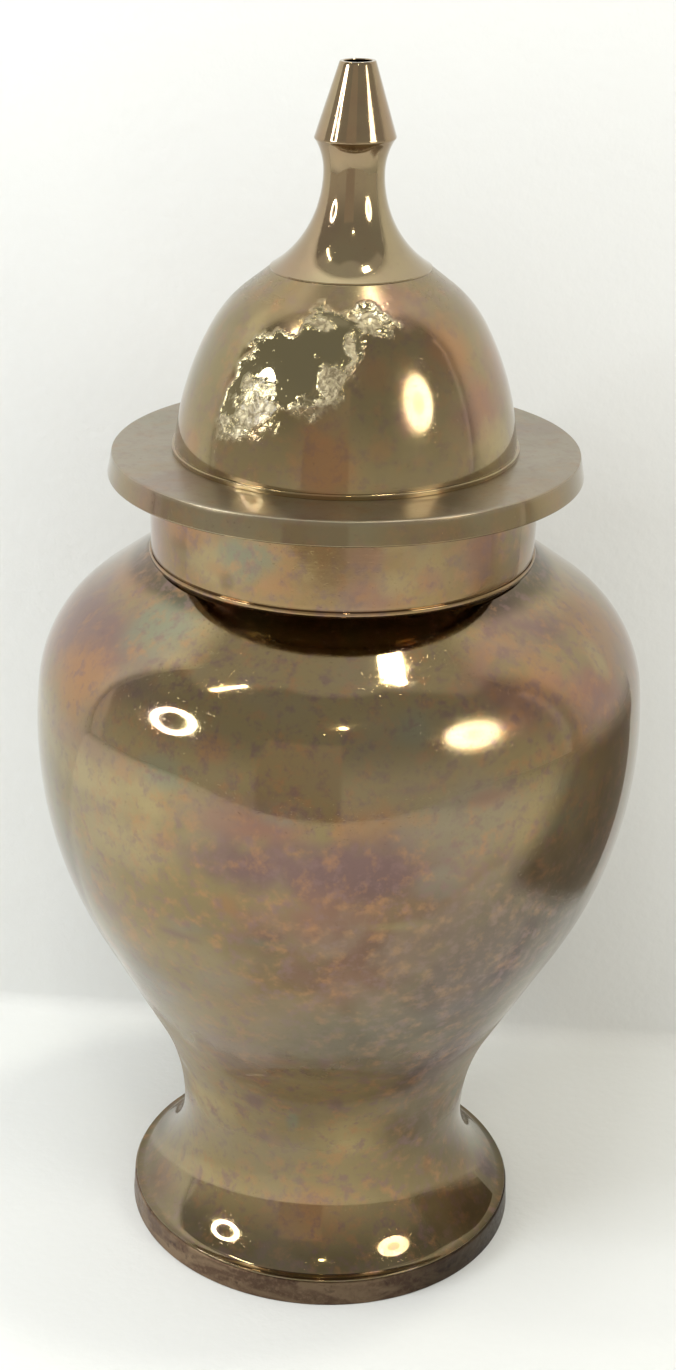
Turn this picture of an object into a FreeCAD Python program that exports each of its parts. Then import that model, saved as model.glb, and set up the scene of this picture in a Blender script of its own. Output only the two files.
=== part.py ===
import FreeCAD, Part
import math
import os
import Sketcher

# A lidded temple jar of spun and turned brass, 400 mm high, in millimetres.
# +Z is up the turning axis, and the origin is the middle of the flat foot.
# Every piece is turned about Z. Its half outline is a sketch in the XZ plane.

SIZES = {
    # jar: foot ring and flared pedestal
    "foot_radius": 71.65,
    "foot_top_radius": 70.9,
    "foot_band": 9.6,
    "foot_bore": 66.0,
    "flare_radius": 69.8,
    "lip_radius": 70.4,
    "lip_height": 0.8,
    "waist_radius": 51.66,
    "waist_height": 42.85,
    # jar: brazed seam on the straight flank between pedestal and bowl
    "seam_radius": 69.75,
    "seam_height": 100.0,
    "flank_angle": 27.7,
    # jar: bowl
    "belly_radius": 100.35,
    "belly_height": 194.25,
    "shoulder_arc": 41.2,
    "shoulder_angle": 55.1,
    "wall": 2.0,
    # jar: neck
    "seat_radius": 62.2,
    "seat_height": 255.8,
    "stub_radius": 59.4,
    "stub_rise": 8.0,
    "collar_radius": 61.3,
    "collar_bead": 61.9,
    "bead_height": 1.3,
    "groove_height": 0.5,
    "groove_depth": 0.35,
    # jar: floor
    "floor_height": 3.0,
    "floor_thickness": 1.6,
    # lid: flange with its turned-down rim
    "flange_top": 288.7,
    "flange_plate": 2.4,
    "flange_edge": 73.2,
    "rim_radius": 74.9,
    "rim_drop": 7.2,
    "rim_bore": 72.2,
    "flange_bore": 50.5,
    "edge_round": 0.5,
    "rim_round": 0.4,
    # lid: locating ring inside the neck
    "ring_clearance": 0.6,
    "ring_wall": 1.6,
    "ring_drop": 16.0,
    # lid: dome
    "ledge_radius": 54.4,
    "ledge_height": 1.6,
    "dome_radius": 53.43,
    "side_arc": 88.2,
    "side_centre": 281.86,
    "crown_arc": 37.4,
    "crown_angle": 53.0,
    "crown_radius": 24.35,
    "crown_height": 343.0,
    # lid: finial
    "total_height": 400.0,
    "land_height": 0.4,
    "throat_radius": 9.08,
    "throat_height": 370.05,
    "cone_radius": 12.05,
    "cone_height": 379.6,
    "tip_radius": 5.3,
    "tip_recess": 4.1,
    "recess_depth": 3.0,
    # lid: stud, washer and nut that hold the finial
    "stud_radius": 3.0,
    "stud_engagement": 14.0,
    "stud_below": 8.6,
    "stud_chamfer": 0.6,
    "clearance_radius": 3.2,
    "washer_radius": 9.0,
    "washer_thickness": 1.2,
    "nut_circumradius": 5.77,
    "nut_height": 5.0,
}

FULL_TURN = 360
# how close, in millimetres, an edge or face lies to the place it is looked up by
NEAR = 0.01
# the sketcher's own numbers for its origin, its two axes, and the vertices of a curve
ORIGIN = (-1, 1)
HORIZONTAL = -1
VERTICAL = -2
START, END, CENTRE = 1, 2, 3

doc = FreeCAD.newDocument("temple_jar")
sheet = doc.addObject("Spreadsheet::Sheet", "Sizes")
for row, (alias, number) in enumerate(SIZES.items(), start=1):
    sheet.set(f"A{row}", alias)
    sheet.set(f"B{row}", str(number))
    sheet.setAlias(f"B{row}", alias)
doc.recompute()


class Size:
    """A number together with the sheet expression that it comes from."""

    def __init__(self, value, text):
        self.value = value
        self.text = text

    def _with(self, other, sign):
        if not isinstance(other, Size):
            other = Size(float(other), str(other))
        value = self.value + other.value if sign == "+" else self.value - other.value
        return Size(value, f"({self.text} {sign} {other.text})")

    def __add__(self, other):
        return self._with(other, "+")

    def __sub__(self, other):
        return self._with(other, "-")

    def __mul__(self, factor):
        return Size(self.value * factor, f"({self.text} * {factor})")


def size(alias):
    return Size(SIZES[alias], f"Sizes.{alias}")


ZERO = Size(0.0, "0")
RIGHT_ANGLE = Size(90.0, "90")


class Outline:
    """Half outline of a turned piece, drawn edge by edge as a closed loop."""

    def __init__(self, body, name):
        self.sketch = body.newObject("Sketcher::SketchObject", name)
        planes = body.Origin.OriginFeatures
        plane = next(p for p in planes if p.Role == "XZ_Plane")
        self.sketch.AttachmentSupport = [(plane, "")]
        self.sketch.MapMode = "FlatFace"
        # each edge is (geometry index, its start vertex number, its end vertex number)
        self.edges = []

    def _add(self, curve, start):
        index = self.sketch.addGeometry(curve, False)
        first = self.sketch.getPoint(index, START)
        forward = first.distanceToPoint(start) < NEAR
        self.edges.append((index, START, END) if forward else (index, END, START))
        return index

    def line(self, start, end):
        a, b = FreeCAD.Vector(*start, 0), FreeCAD.Vector(*end, 0)
        return self._add(Part.LineSegment(a, b), a)

    def arc(self, start, end, centre):
        """The shorter arc from start to end."""
        a, b, c = (FreeCAD.Vector(*p, 0) for p in (start, end, centre))
        middle = c + ((a + b) * 0.5 - c).normalize() * a.distanceToPoint(c)
        return self._add(Part.Arc(a, middle, b), a)

    def close(self, smooth=()):
        """Join each edge to the next, tangent at the edges listed in smooth."""
        for edge, after in zip(self.edges, self.edges[1:] + self.edges[:1]):
            kind = "Tangent" if edge[0] in smooth else "Coincident"
            joint = Sketcher.Constraint(kind, edge[0], edge[2], after[0], after[1])
            self.sketch.addConstraint(joint)

    def bind(self, kind, *args):
        """Add a constraint whose last argument is a Size, and bind it to the sheet."""
        wanted = args[-1]
        datum = wanted.value
        text = wanted.text
        if kind == "Angle":
            datum = math.radians(datum)
            text = f"{text} * 1 deg"
        index = self.sketch.addConstraint(Sketcher.Constraint(kind, *args[:-1], datum))
        self.sketch.setExpression(f"Constraints[{index}]", text)

    def pin(self, geometry, vertex, radius=None, height=None):
        """Fix a vertex: its distance from the axis, its height, or both."""
        for kind, wanted in (("DistanceX", radius), ("DistanceY", height)):
            if wanted is None:
                continue
            if wanted.value == 0:
                axis = VERTICAL if kind == "DistanceX" else HORIZONTAL
                self.sketch.addConstraint(Sketcher.Constraint("PointOnObject", geometry, vertex, axis))
            else:
                self.bind(kind, *ORIGIN, geometry, vertex, wanted)

    def start_of(self, geometry):
        return next(edge[1] for edge in self.edges if edge[0] == geometry)

    def end_of(self, geometry):
        return next(edge[2] for edge in self.edges if edge[0] == geometry)


def new_body(name):
    body = doc.addObject("PartDesign::Body", name)
    body.Label = name
    return body


def revolve(body, outline):
    """Turn the outline a full circle about Z."""
    feature = body.newObject("PartDesign::Revolution", outline.sketch.Name.replace("outline", "turn"))
    feature.Profile = outline.sketch
    feature.ReferenceAxis = (outline.sketch, ["V_Axis"])
    feature.Angle = FULL_TURN
    doc.recompute()
    return feature


def values(corner):
    """The plain numbers of a (radius, height) corner."""
    return tuple(part.value for part in corner)


def straight_outline(body, name, corners):
    """A closed outline of straight edges through (radius, height) corners."""
    outline = Outline(body, name + "_outline")
    points = [values(corner) for corner in corners]
    for start, end in zip(points, points[1:] + points[:1]):
        outline.line(start, end)
    outline.close()
    for (index, first, _), corner in zip(outline.edges, corners):
        outline.pin(index, first, *corner)
    return outline


def turned(name, corners, body=None):
    """A piece, or an addition to a body, whose half outline has straight edges only."""
    body = body or new_body(name)
    revolve(body, straight_outline(body, name, corners))
    return body


def circle_edges(feature, radius, height):
    """Names of the feature's circular edges with this radius at this height."""
    found = []
    for number, edge in enumerate(feature.Shape.Edges, start=1):
        curve = edge.Curve
        if not isinstance(curve, Part.Circle):
            continue
        if abs(curve.Radius - radius) < NEAR and abs(curve.Center.z - height) < NEAR:
            found.append(f"Edge{number}")
    return found


def soften(body, kind, amount, rings):
    """Fillet or chamfer the ring edges given as (radius, height) pairs."""
    base = body.Tip
    names = [name for radius, height in rings for name in circle_edges(base, radius.value, height.value)]
    feature = body.newObject(f"PartDesign::{kind}", f"{body.Name}_{kind.lower()}")
    feature.Base = (base, names)
    feature.setExpression("Radius" if kind == "Fillet" else "Size", f"Sizes.{amount}")
    doc.recompute()


def hollow(body, heights):
    """Leave a wall of the sheet's thickness, open at the flat faces at these heights."""
    base = body.Tip
    open_faces = []
    for number, face in enumerate(base.Shape.Faces, start=1):
        flat = isinstance(face.Surface, Part.Plane)
        if flat and any(abs(face.CenterOfMass.z - height.value) < NEAR for height in heights):
            open_faces.append(f"Face{number}")
    feature = body.newObject("PartDesign::Thickness", body.Name + "_wall")
    feature.Base = (base, open_faces)
    feature.Reversed = True
    feature.Mode = 0
    feature.Join = 1
    feature.setExpression("Value", "Sizes.wall")
    doc.recompute()


def add_rim(body, name, corner, radius, height):
    """A narrow rounded ring round the foot of a shell, set half the wall's thickness into it."""
    inside = corner[0] - size("wall") * 0.5
    top = corner[1] + height
    turned(name, ((inside, corner[1]), (radius, corner[1]), (radius, top), (inside, top)), body)
    soften(body, "Fillet", "rim_round", ((radius, top),))


def tangent_point(centre, radius, lean, side):
    """Point where a circle's tangent leans outwards from Z by the angle lean.

    side is 1 for the side away from the axis and -1 for the side towards it.
    """
    angle = math.radians(lean)
    return (centre[0] + side * radius * math.cos(angle), centre[1] - side * radius * math.sin(angle))


def upright_arc_radius(upright, point, lean):
    """Radius of the arc that is upright at one end and meets the line through point at the other.

    The line leans outwards from Z by the angle lean. The same formula serves a hollow arc
    below the line and a bulging one above it.
    """
    angle = math.radians(lean)
    rise = abs(point[1] - upright[1])
    reach = abs(point[0] - upright[0])
    return (rise * math.sin(angle) - reach * math.cos(angle)) / (1 - math.cos(angle))


def nested_centre(centre, radius, small, point, lean):
    """Centre of the small circle inside a large one that also touches the line through point.

    The line leans from Z by the angle lean, which is negative where it closes in upwards.
    """
    angle = math.radians(lean)
    normal = (math.cos(angle), -math.sin(angle))
    along = (math.sin(angle), math.cos(angle))
    across = sum((p - c) * n for p, c, n in zip(point, centre, normal)) - small
    back = math.sqrt((radius - small) ** 2 - across**2)
    return tuple(c + across * n - back * a for c, n, a in zip(centre, normal, along))


def contact(centre, radius, inner):
    """Point where a circle touches one nested inside it."""
    span = math.dist(centre, inner)
    return tuple(c + (i - c) * radius / span for c, i in zip(centre, inner))


def build_foot_ring():
    """Turned band that the jar stands on."""
    bottom = ZERO
    top = size("foot_band")
    corners = (
        (size("foot_bore"), bottom),
        (size("foot_radius"), bottom),
        (size("foot_top_radius"), top),
        (size("foot_bore"), top),
    )
    body = turned("foot_ring", corners)
    soften(body, "Fillet", "edge_round", (corners[1], corners[2]))


def build_foot_shell():
    """Pedestal: it flares to the foot ring below the waist and to the seam above it."""
    body = new_body("foot_shell")
    rest = (size("flare_radius"), size("foot_band"))
    waist = (size("waist_radius"), size("waist_height"))
    seam = (size("seam_radius"), size("seam_height"))
    lean = size("flank_angle")

    across = rest[0].value - waist[0].value
    drop = waist[1].value - rest[1].value
    flare_radius = (across**2 + drop**2) / (2 * across)
    flare_centre = (waist[0].value + flare_radius, waist[1].value)
    waist_radius = upright_arc_radius(values(waist), values(seam), lean.value)
    waist_centre = (waist[0].value + waist_radius, waist[1].value)
    touch = tangent_point(waist_centre, waist_radius, lean.value, -1)

    outline = Outline(body, "foot_shell_outline")
    base = outline.line((0, rest[1].value), values(rest))
    flare = outline.arc(values(rest), values(waist), flare_centre)
    hollow_arc = outline.arc(values(waist), touch, waist_centre)
    flank = outline.line(touch, values(seam))
    top = outline.line(values(seam), (0, seam[1].value))
    outline.line((0, seam[1].value), (0, rest[1].value))
    outline.close(smooth=(hollow_arc,))
    outline.pin(base, outline.start_of(base), ZERO, rest[1])
    outline.pin(flare, outline.start_of(flare), *rest)
    outline.pin(flare, outline.end_of(flare), *waist)
    outline.pin(flare, CENTRE, height=waist[1])
    outline.pin(hollow_arc, CENTRE, height=waist[1])
    outline.bind("Angle", flank, RIGHT_ANGLE - lean)
    outline.pin(top, outline.start_of(top), *seam)
    outline.pin(top, outline.end_of(top), ZERO, seam[1])
    revolve(body, outline)
    hollow(body, (rest[1], seam[1]))
    add_rim(body, "foot_lip", rest, size("lip_radius"), size("lip_height"))


def build_body_shell():
    """Bowl: straight flank, belly and shoulder in tangent arcs, and a short neck stub."""
    body = new_body("body_shell")
    seam = (size("seam_radius"), size("seam_height"))
    belly = (size("belly_radius"), size("belly_height"))
    seat = (size("seat_radius"), size("seat_height"))
    root = (size("stub_radius"), size("seat_height"))
    mouth = (size("stub_radius"), size("seat_height") + size("stub_rise"))
    flank_lean = size("flank_angle")
    shoulder_lean = size("shoulder_angle")
    shoulder_arc = size("shoulder_arc")

    belly_radius = upright_arc_radius(values(belly), values(seam), flank_lean.value)
    belly_centre = (belly[0].value - belly_radius, belly[1].value)
    low_touch = tangent_point(belly_centre, belly_radius, flank_lean.value, 1)
    small = shoulder_arc.value
    shoulder_centre = nested_centre(belly_centre, belly_radius, small, values(seat), -shoulder_lean.value)
    high_touch = contact(belly_centre, belly_radius, shoulder_centre)
    shoulder_end = tangent_point(shoulder_centre, small, -shoulder_lean.value, 1)

    outline = Outline(body, "body_shell_outline")
    base = outline.line((0, seam[1].value), values(seam))
    flank = outline.line(values(seam), low_touch)
    lower = outline.arc(low_touch, values(belly), belly_centre)
    upper = outline.arc(values(belly), high_touch, belly_centre)
    shoulder = outline.arc(high_touch, shoulder_end, shoulder_centre)
    slope = outline.line(shoulder_end, values(seat))
    ledge = outline.line(values(seat), values(root))
    stub = outline.line(values(root), values(mouth))
    top = outline.line(values(mouth), (0, mouth[1].value))
    outline.line((0, mouth[1].value), (0, seam[1].value))
    outline.close(smooth=(flank, upper, shoulder))
    outline.pin(base, outline.start_of(base), ZERO, seam[1])
    outline.pin(base, outline.end_of(base), *seam)
    outline.bind("Angle", flank, RIGHT_ANGLE - flank_lean)
    outline.pin(lower, outline.end_of(lower), *belly)
    outline.pin(lower, CENTRE, height=belly[1])
    outline.pin(upper, CENTRE, height=belly[1])
    outline.sketch.addConstraint(Sketcher.Constraint("Equal", lower, upper))
    outline.bind("Radius", shoulder, shoulder_arc)
    outline.bind("Angle", slope, RIGHT_ANGLE + shoulder_lean)
    outline.pin(ledge, outline.start_of(ledge), *seat)
    outline.pin(stub, outline.start_of(stub), *root)
    outline.pin(top, outline.start_of(top), *mouth)
    outline.pin(top, outline.end_of(top), ZERO, mouth[1])
    revolve(body, outline)
    hollow(body, (seam[1], mouth[1]))


def build_neck_collar():
    """Straight sleeve brazed round the neck stub, with a groove and a bead at its foot."""
    foot = size("seat_height")
    bead_top = foot + size("bead_height")
    groove_top = bead_top + size("groove_height")
    groove_floor = size("collar_radius") - size("groove_depth")
    top = size("flange_top") - size("flange_plate")
    corners = (
        (size("stub_radius"), foot),
        (size("collar_bead"), foot),
        (size("collar_bead"), bead_top),
        (groove_floor, bead_top),
        (groove_floor, groove_top),
        (size("collar_radius"), groove_top),
        (size("collar_radius"), top),
        (size("stub_radius"), top),
    )
    body = turned("neck_collar", corners)
    soften(body, "Fillet", "edge_round", (corners[2], corners[6], corners[7]))


def build_floor_disc():
    """Flat disc that closes the jar inside the foot ring."""
    low = size("floor_height")
    high = low + size("floor_thickness")
    rim = size("foot_bore")
    turned("floor_disc", ((ZERO, low), (rim, low), (rim, high), (ZERO, high)))


def build_lid_flange():
    """Flat plate that rests on the neck, with a rim turned down round its edge."""
    top = size("flange_top")
    under = top - size("flange_plate")
    low = top - size("rim_drop")
    corners = (
        (size("flange_bore"), under),
        (size("rim_bore"), under),
        (size("rim_bore"), low),
        (size("rim_radius"), low),
        (size("flange_edge"), top),
        (size("flange_bore"), top),
    )
    body = turned("lid_flange", corners)
    soften(body, "Fillet", "edge_round", (corners[3], corners[4]))


def build_lid_locating_ring():
    """Skirt under the plate that keeps the lid central in the neck."""
    outer = size("stub_radius") - size("ring_clearance")
    inner = outer - size("ring_wall")
    high = size("flange_top") - size("flange_plate")
    low = high - size("ring_drop")
    corners = ((inner, low), (outer, low), (outer, high), (inner, high))
    body = turned("lid_locating_ring", corners)
    soften(body, "Chamfer", "edge_round", corners[:2])


def build_lid_dome():
    """Bell-shaped cover that stands on the plate, with a narrow ledge round its foot."""
    body = new_body("lid_dome")
    foot = (size("dome_radius"), size("flange_top"))
    spring = (size("dome_radius"), size("flange_top") + size("ledge_height"))
    crown = (size("crown_radius"), size("crown_height"))
    lean = size("crown_angle")
    side_arc = size("side_arc")
    side_height = size("side_centre")
    crown_arc = size("crown_arc")

    rise = spring[1].value - side_height.value
    side_centre = (spring[0].value - math.sqrt(side_arc.value**2 - rise**2), side_height.value)
    small = crown_arc.value
    crown_centre = nested_centre(side_centre, side_arc.value, small, values(crown), -lean.value)
    touch = contact(side_centre, side_arc.value, crown_centre)
    crown_end = tangent_point(crown_centre, small, -lean.value, 1)

    outline = Outline(body, "lid_dome_outline")
    base = outline.line((0, foot[1].value), values(foot))
    skirt = outline.line(values(foot), values(spring))
    side = outline.arc(values(spring), touch, side_centre)
    bend = outline.arc(touch, crown_end, crown_centre)
    slope = outline.line(crown_end, values(crown))
    top = outline.line(values(crown), (0, crown[1].value))
    outline.line((0, crown[1].value), (0, foot[1].value))
    outline.close(smooth=(side, bend))
    outline.pin(base, outline.start_of(base), ZERO, foot[1])
    outline.pin(skirt, outline.start_of(skirt), *foot)
    outline.pin(side, outline.start_of(side), *spring)
    outline.pin(side, CENTRE, height=side_height)
    outline.bind("Radius", side, side_arc)
    outline.bind("Radius", bend, crown_arc)
    outline.bind("Angle", slope, RIGHT_ANGLE + lean)
    outline.pin(top, outline.start_of(top), *crown)
    outline.pin(top, outline.end_of(top), ZERO, crown[1])
    revolve(body, outline)
    hollow(body, (foot[1],))

    add_rim(body, "dome_ledge", foot, size("ledge_radius"), size("ledge_height"))

    bore = size("clearance_radius")
    low = crown[1] - size("wall") * 2
    high = crown[1] + size("wall")
    hole = straight_outline(body, "stud_hole", ((ZERO, low), (bore, low), (bore, high), (ZERO, high)))
    groove = body.newObject("PartDesign::Groove", "stud_hole")
    groove.Profile = hole.sketch
    groove.ReferenceAxis = (hole.sketch, ["V_Axis"])
    groove.Angle = FULL_TURN
    doc.recompute()


def build_finial():
    """Turned knob: flared foot, waisted throat and a cone with a drilled tip."""
    body = new_body("finial")
    bottom = size("crown_height")
    tap = size("stud_radius")
    tap_end = bottom + size("stud_engagement")
    land = (size("crown_radius"), bottom + size("land_height"))
    throat = (size("throat_radius"), size("throat_height"))
    shoulder = (size("cone_radius"), size("cone_height"))
    top = size("total_height")
    recess_floor = top - size("recess_depth")

    outline = Outline(body, "finial_outline")
    corners = [
        (ZERO, tap_end),
        (tap, tap_end),
        (tap, bottom),
        (size("crown_radius"), bottom),
        land,
        throat,
        shoulder,
        (size("tip_radius"), top),
        (size("tip_recess"), top),
        (size("tip_recess"), recess_floor),
        (ZERO, recess_floor),
    ]
    for start, end in zip(corners, corners[1:] + corners[:1]):
        if throat not in (start, end):
            outline.line(values(start), values(end))
            continue
        # both arcs stand upright at the throat, so their centres are at its height
        other = start if end is throat else end
        across = other[0].value - throat[0].value
        rise = other[1].value - throat[1].value
        radius = (across**2 + rise**2) / (2 * across)
        arc = outline.arc(values(start), values(end), (throat[0].value + radius, throat[1].value))
        outline.pin(arc, CENTRE, height=throat[1])
    outline.close()
    for (index, first, _), corner in zip(outline.edges, corners):
        outline.pin(index, first, *corner)
    revolve(body, outline)
    soften(body, "Fillet", "edge_round", (shoulder,))


def build_finial_stud():
    """Stud screwed up into the finial, through the dome's crown."""
    top = size("crown_height") + size("stud_engagement")
    low = size("crown_height") - size("wall") - size("stud_below")
    radius = size("stud_radius")
    body = turned("finial_stud", ((ZERO, low), (radius, low), (radius, top), (ZERO, top)))
    soften(body, "Chamfer", "stud_chamfer", ((radius, low), (radius, top)))


def build_finial_washer():
    """Flat washer under the crown, round the stud."""
    top = size("crown_height") - size("wall")
    low = top - size("washer_thickness")
    inner = size("clearance_radius")
    outer = size("washer_radius")
    turned("finial_washer", ((inner, low), (outer, low), (outer, top), (inner, top)))


def build_finial_nut():
    """Hexagon nut that clamps the dome between the washer and the finial."""
    blank = doc.addObject("Part::Prism", "nut_blank")
    blank.Polygon = 6
    blank.setExpression("Circumradius", "Sizes.nut_circumradius")
    blank.setExpression("Height", "Sizes.nut_height")
    bore = doc.addObject("Part::Cylinder", "nut_bore")
    bore.setExpression("Radius", "Sizes.stud_radius")
    bore.setExpression("Height", "Sizes.nut_height")
    nut = doc.addObject("Part::Cut", "finial_nut")
    nut.Base = blank
    nut.Tool = bore
    nut.Label = "finial_nut"
    low = "Sizes.crown_height - Sizes.wall - Sizes.washer_thickness - Sizes.nut_height"
    nut.setExpression("Placement.Base.z", low)


BUILDERS = (
    build_foot_ring,
    build_foot_shell,
    build_body_shell,
    build_neck_collar,
    build_floor_disc,
    build_lid_flange,
    build_lid_locating_ring,
    build_lid_dome,
    build_finial,
    build_finial_stud,
    build_finial_washer,
    build_finial_nut,
)
for builder in BUILDERS:
    builder()
doc.recompute()

for item in doc.Objects:
    if "Invalid" in item.State or "Error" in item.State:
        raise RuntimeError(f"{item.Name} failed: {item.State}")
os.makedirs("parts", exist_ok=True)
for builder in BUILDERS:
    node = builder.__name__.removeprefix("build_")
    shape = doc.getObject(node).Shape
    if shape.isNull() or not shape.isValid():
        raise RuntimeError(f"{node} has no valid shape")
    shape.exportStep(f"parts/{node}.step")
    print(f"{node}: {shape.Volume:.0f} mm3, z {shape.BoundBox.ZMin:.2f} to {shape.BoundBox.ZMax:.2f}")
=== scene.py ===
import math
import bmesh
import bpy
import numpy as np
from mathutils import Matrix, Vector, noise


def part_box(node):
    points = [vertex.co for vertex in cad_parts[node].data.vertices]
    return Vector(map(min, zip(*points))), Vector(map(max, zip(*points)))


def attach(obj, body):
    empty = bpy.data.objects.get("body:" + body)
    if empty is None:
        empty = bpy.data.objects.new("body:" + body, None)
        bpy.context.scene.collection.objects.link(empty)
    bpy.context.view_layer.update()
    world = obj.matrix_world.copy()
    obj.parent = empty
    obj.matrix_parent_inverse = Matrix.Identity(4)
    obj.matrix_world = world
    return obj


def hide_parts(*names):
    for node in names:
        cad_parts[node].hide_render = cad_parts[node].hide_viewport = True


# The looks of a lidded temple jar of spun and turned brass, in metres.
# Bearings are degrees round Z: 0 faces -Y, the front, and 90 faces +X, the right.

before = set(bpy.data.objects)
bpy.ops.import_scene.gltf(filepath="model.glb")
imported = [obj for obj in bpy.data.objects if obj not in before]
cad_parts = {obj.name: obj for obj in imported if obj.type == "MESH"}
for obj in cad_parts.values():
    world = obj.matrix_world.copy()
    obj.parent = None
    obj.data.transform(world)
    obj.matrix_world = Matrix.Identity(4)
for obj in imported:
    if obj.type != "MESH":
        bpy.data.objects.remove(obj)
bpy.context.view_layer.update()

MM = 0.001

# sizes that the frame gives
FOOT_LOW, FOOT_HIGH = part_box("foot_ring")
BOWL_LOW, BOWL_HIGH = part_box("body_shell")
COLLAR_LOW, COLLAR_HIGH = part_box("neck_collar")
FLANGE_LOW, FLANGE_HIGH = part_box("lid_flange")
DOME_LOW, DOME_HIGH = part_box("lid_dome")
FINIAL_LOW, FINIAL_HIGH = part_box("finial")

WALL = 2.0 * MM
# foot band
BAND_BORE = 66.0 * MM
BAND_TOP = 70.9 * MM
# pedestal
FLARE = (69.8 * MM, FOOT_HIGH.z)
LIP_RADIUS = 70.4 * MM
LIP_HEIGHT = 0.8 * MM
WAIST = (51.66 * MM, 42.85 * MM)
SEAM = (69.75 * MM, BOWL_LOW.z)
FLANK_LEAN = 27.7
# bowl
BELLY = (BOWL_HIGH.x, 194.25 * MM)
SHOULDER_ARC = 41.2 * MM
SHOULDER_LEAN = -55.1
SEAT = (62.2 * MM, COLLAR_LOW.z)
STUB_RADIUS = 59.4 * MM
# neck
COLLAR_RADIUS = 61.3 * MM
BEAD_RADIUS = COLLAR_HIGH.x
BEAD_HEIGHT = 1.3 * MM
GROOVE_HEIGHT = 0.5 * MM
GROOVE_DEPTH = 0.35 * MM
# lid
FLANGE_EDGE = 73.2 * MM
FLANGE_PLATE = 2.4 * MM
RIM_BORE = 72.2 * MM
FLANGE_BORE = 50.5 * MM
DOME_FOOT = (53.43 * MM, DOME_LOW.z)
LEDGE_RADIUS = DOME_HIGH.x
LEDGE_HEIGHT = 1.6 * MM
LEDGE_TOP = DOME_FOOT[1] + LEDGE_HEIGHT
SIDE_ARC = 88.2 * MM
SIDE_HEIGHT = 281.86 * MM
CROWN_ARC = 37.4 * MM
CROWN_LEAN = -53.0
CROWN = (24.35 * MM, FINIAL_LOW.z)
STUD_HOLE = 3.2 * MM
# finial
LAND = (CROWN[0], CROWN[1] + 0.4 * MM)
THROAT = (9.08 * MM, 370.05 * MM)
CONE = (12.05 * MM, 379.6 * MM)
CONE_EDGE = ((-0.16 * MM, -0.42 * MM), (-0.03 * MM, -0.14 * MM), (-0.04 * MM, 0.14 * MM))
CONE_EDGE_END = 0.55 * MM
TIP_RADIUS = 5.3 * MM
TIP_ROUND = 0.2 * MM
RECESS_RADIUS = 4.1 * MM
RECESS_DEPTH = 3.0 * MM
TAP_RADIUS = 3.0 * MM
TAP_DEPTH = 14.0 * MM

EDGE_ROUND = 0.5 * MM
# mesh points round each turned piece, and the spacing of those along its outside
BAND_AROUND, BAND_STEP = 640, 0.8 * MM
PEDESTAL_AROUND, PEDESTAL_STEP = 640, 1.1 * MM
BOWL_AROUND, BOWL_STEP = 512, 1.25 * MM
COLLAR_AROUND, COLLAR_STEP = 640, 1.1 * MM
FLANGE_AROUND, FLANGE_STEP = 720, 1.2 * MM
DOME_AROUND, DOME_STEP = 560, 0.52 * MM
FINIAL_AROUND, FINIAL_STEP = 384, 0.5 * MM
LIP_STEP = 0.4 * MM
# the inside of a wall has one point for this many outside
INSIDE_EVERY = 5
DOME_INSIDE_EVERY = 8
SHARP_ANGLE = 38


# ---------------------------------------------------------------- outlines

def line(start, end, step):
    """Points from start up to, but not including, end."""
    count = max(1, round(math.dist(start, end) / step))
    share = np.arange(count)[:, None] / count
    return np.array(start) + share * (np.array(end) - np.array(start))


def arc(start, end, centre, step):
    """Points of the shorter arc from start up to, but not including, end."""
    first = math.atan2(start[1] - centre[1], start[0] - centre[0])
    last = math.atan2(end[1] - centre[1], end[0] - centre[0])
    sweep = (last - first + math.pi) % (2 * math.pi) - math.pi
    radius = math.dist(start, centre)
    count = max(2, round(abs(sweep) * radius / step))
    angles = first + sweep * np.arange(count) / count
    return np.stack([centre[0] + radius * np.cos(angles), centre[1] + radius * np.sin(angles)], axis=1)


def rounded(corners, step):
    """A closed outline through (radius, height, corner radius) corners, its corners rounded."""
    parts = []
    arrive = []
    leave = []
    middles = []
    for index, (radius, height, soft) in enumerate(corners):
        here = np.array([radius, height])
        before = np.array(corners[index - 1][:2]) - here
        after = np.array(corners[(index + 1) % len(corners)][:2]) - here
        before = before / np.linalg.norm(before)
        after = after / np.linalg.norm(after)
        half = math.acos(max(-1.0, min(1.0, float(before @ after)))) / 2
        back = soft / math.tan(half)
        bisector = before + after
        bisector = bisector / np.linalg.norm(bisector)
        arrive.append(here + before * back)
        leave.append(here + after * back)
        middles.append(here + bisector * soft / math.sin(half))
    for index, corner in enumerate(corners):
        if corner[2] > 0:
            parts.append(arc(arrive[index], leave[index], middles[index], corner[2] / 3))
        parts.append(line(leave[index], arrive[(index + 1) % len(corners)], step))
    return np.concatenate(parts)


def tangent_point(centre, radius, lean, side):
    """Point where a circle's tangent leans outwards from Z by lean degrees."""
    angle = math.radians(lean)
    return (centre[0] + side * radius * math.cos(angle), centre[1] - side * radius * math.sin(angle))


def upright_arc_radius(upright, point, lean):
    """Radius of the arc that is upright at one end and meets the line through point at the other."""
    angle = math.radians(lean)
    rise = abs(point[1] - upright[1])
    reach = abs(point[0] - upright[0])
    return (rise * math.sin(angle) - reach * math.cos(angle)) / (1 - math.cos(angle))


def upright_circle(upright, point):
    """Centre of the arc that is upright at one point and passes through another outside it."""
    across = point[0] - upright[0]
    rise = point[1] - upright[1]
    return (upright[0] + (across**2 + rise**2) / (2 * across), upright[1])


def nested_centre(centre, radius, small, point, lean):
    """Centre of the small circle inside a large one that also touches the line through point."""
    angle = math.radians(lean)
    normal = (math.cos(angle), -math.sin(angle))
    along = (math.sin(angle), math.cos(angle))
    across = sum((p - c) * n for p, c, n in zip(point, centre, normal)) - small
    back = math.sqrt((radius - small) ** 2 - across**2)
    return tuple(c + across * n - back * a for c, n, a in zip(centre, normal, along))


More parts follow.
